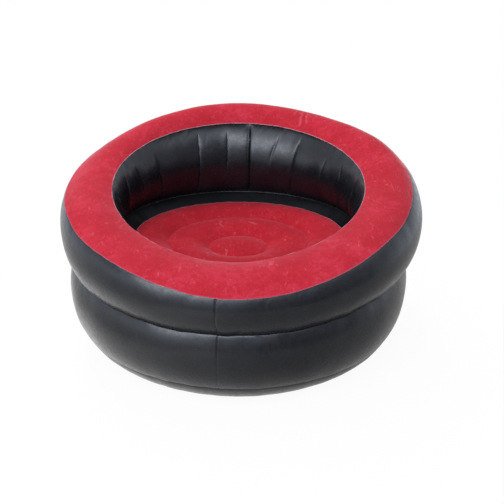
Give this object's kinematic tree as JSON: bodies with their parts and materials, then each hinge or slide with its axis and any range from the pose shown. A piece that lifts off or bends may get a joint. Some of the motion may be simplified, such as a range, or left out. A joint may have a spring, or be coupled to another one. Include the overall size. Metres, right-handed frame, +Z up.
{
  "type": "inflatable chair",
  "caption": "Round inflatable tub chair: a film base with a dished, flocked seat under a wedge-shaped air ring, with push-in air valves at the back.",
  "frame": {"origin": "on the floor under the centre of the chair", "axes": "+Z up, the low front of the ring faces -Y and the high back +Y"},
  "size_m": [0.85, 0.85, 0.5302],
  "materials": {
    "flocked_red": "red flocking on vinyl film, short suede-like pile with brushed patches",
    "black_film": "black calendered vinyl film, satin",
    "inner_film": "grey vinyl film, inside the air chambers",
    "valve_vinyl": "moulded soft black vinyl"
  },
  "bodies": {
    "chair": {"top_panel": "flocked_red", "seat_panel": "flocked_red", "upper_outer_wall": "black_film", "upper_inner_wall": "black_film", "lower_outer_wall": "black_film", "seat_border": "black_film", "bottom_panel": "black_film", "ring_partition": "inner_film", "ring_tie": "inner_film", "seat_tie_outer": "inner_film", "seat_tie_inner": "inner_film", "upper_baffle_1": "inner_film", "upper_baffle_2": "inner_film", "upper_baffle_3": "inner_film", "upper_baffle_4": "inner_film", "upper_baffle_5": "inner_film", "upper_baffle_6": "inner_film", "upper_baffle_7": "inner_film", "upper_baffle_8": "inner_film", "upper_baffle_9": "inner_film", "upper_valve_seat": "valve_vinyl", "upper_valve_tether": "valve_vinyl", "base_valve_seat": "valve_vinyl", "base_valve_tether": "valve_vinyl"},
    "upper_plug": {"upper_valve_plug": "valve_vinyl"},
    "upper_flap": {"upper_valve_flap": "valve_vinyl"},
    "base_plug": {"base_valve_plug": "valve_vinyl"},
    "base_flap": {"base_valve_flap": "valve_vinyl"}
  },
  "joints": [
    {"name": "upper_plug_pull", "type": "slide", "parent": "chair", "child": "upper_plug", "axis": [0, 0.9241, -0.3821], "range_m": [0, 0.016]},
    {"name": "upper_flap_open", "type": "hinge", "parent": "chair", "child": "upper_flap", "pos_m": [0, 0.39606, 0.36533], "axis": [-1, 0, 0], "range_deg": [0, 50], "stiffness_Nm_per_rad": 0.0005},
    {"name": "base_plug_pull", "type": "slide", "parent": "chair", "child": "base_plug", "axis": [0, 0.9996, -0.0295], "range_m": [0, 0.016]},
    {"name": "base_flap_open", "type": "hinge", "parent": "chair", "child": "base_flap", "pos_m": [0, 0.3903, 0.20181], "axis": [-1, 0, 0], "range_deg": [0, 50], "stiffness_Nm_per_rad": 0.0005}
  ]
}
